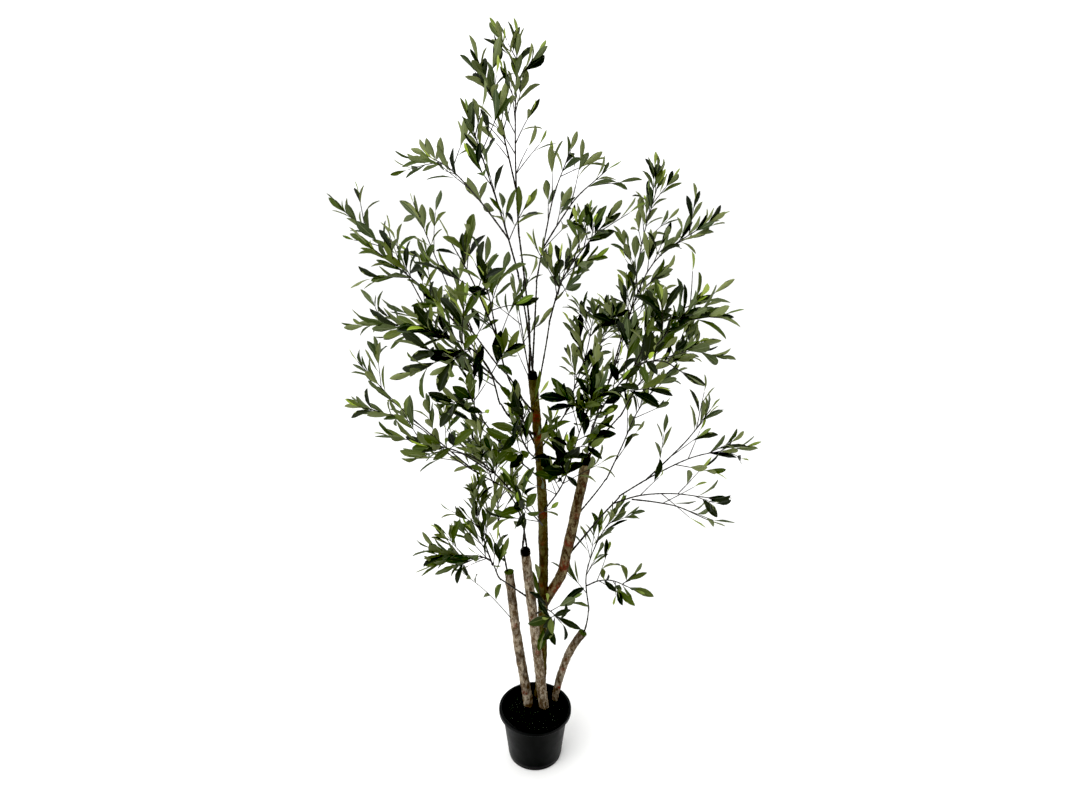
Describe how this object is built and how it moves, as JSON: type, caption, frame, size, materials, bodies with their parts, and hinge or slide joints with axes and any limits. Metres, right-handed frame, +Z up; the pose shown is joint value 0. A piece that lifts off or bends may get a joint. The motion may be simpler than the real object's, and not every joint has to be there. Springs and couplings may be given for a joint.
{
  "type": "artificial olive tree in a nursery pot",
  "caption": "Artificial olive tree: natural wood sticks with wire boughs and sprays of narrow leaves, in a round black nursery pot with a weighted fill.",
  "frame": {"origin": "centre of the pot's flat underside", "axes": "+Z up along the tree, +X to the right and -Y towards a viewer at the front"},
  "size_m": [1.023, 0.7674, 1.8215],
  "materials": {
    "pot": "smooth black injection-moulded plastic, half gloss",
    "fill": "dark weighted fill topped with moss-green and grey grit",
    "dry_bark": "dry grey-tan bark with rusty patches",
    "red_bark": "darker red-brown bark, ochre near the cut ends",
    "cap_putty": "matt black putty plug",
    "coated_wire": "dark brown coated steel wire",
    "olive_leaf": "matt printed leaf cloth, green above and grey-green below"
  },
  "bodies": {
    "root": {"pot": "pot", "fill": "fill", "main_trunk": "red_bark", "right_fork": "red_bark", "left_stick": "dry_bark", "front_stick": "dry_bark", "right_stick": "dry_bark", "main_trunk_cap": "cap_putty", "right_fork_cap": "cap_putty", "left_stick_cap": "cap_putty", "front_stick_cap": "cap_putty", "bough_top": "coated_wire", "bough_top_left": "coated_wire", "bough_top_right": "coated_wire", "bough_upper_right": "coated_wire", "bough_front_left": "coated_wire", "bough_front_centre": "coated_wire", "bough_left": "coated_wire", "bough_back_left": "coated_wire", "bough_mid_left": "coated_wire", "bough_mid_left_up": "coated_wire", "bough_left_stick": "coated_wire", "bough_low_left": "coated_wire", "bough_fork_front": "coated_wire", "bough_fork_tall": "coated_wire", "bough_fork_far": "coated_wire", "bough_fork_out": "coated_wire", "bough_mid_right": "coated_wire", "bough_mid_right_up": "coated_wire", "bough_right_stick": "coated_wire", "spray_top": "olive_leaf", "spray_top_left": "olive_leaf", "spray_top_right": "olive_leaf", "spray_upper_right": "olive_leaf", "spray_front_left": "olive_leaf", "spray_front_centre": "olive_leaf", "spray_left_far": "olive_leaf", "spray_upper_left_out": "olive_leaf", "spray_upper_left": "olive_leaf", "spray_left_inner": "olive_leaf", "spray_mid_left": "olive_leaf", "spray_mid_left_up": "olive_leaf", "spray_left_stick": "olive_leaf", "spray_low_left": "olive_leaf", "spray_front_right": "olive_leaf", "spray_tall_right": "olive_leaf", "spray_high_right": "olive_leaf", "spray_far_right": "olive_leaf", "spray_out_right": "olive_leaf", "spray_back_right": "olive_leaf", "spray_mid_right": "olive_leaf", "spray_mid_right_low": "olive_leaf", "spray_mid_right_up": "olive_leaf", "spray_centre": "olive_leaf", "spray_centre_low": "olive_leaf", "spray_centre_right": "olive_leaf", "spray_centre_back": "olive_leaf", "spray_right_stick": "olive_leaf", "spray_trunk_low": "olive_leaf"}
  },
  "joints": []
}
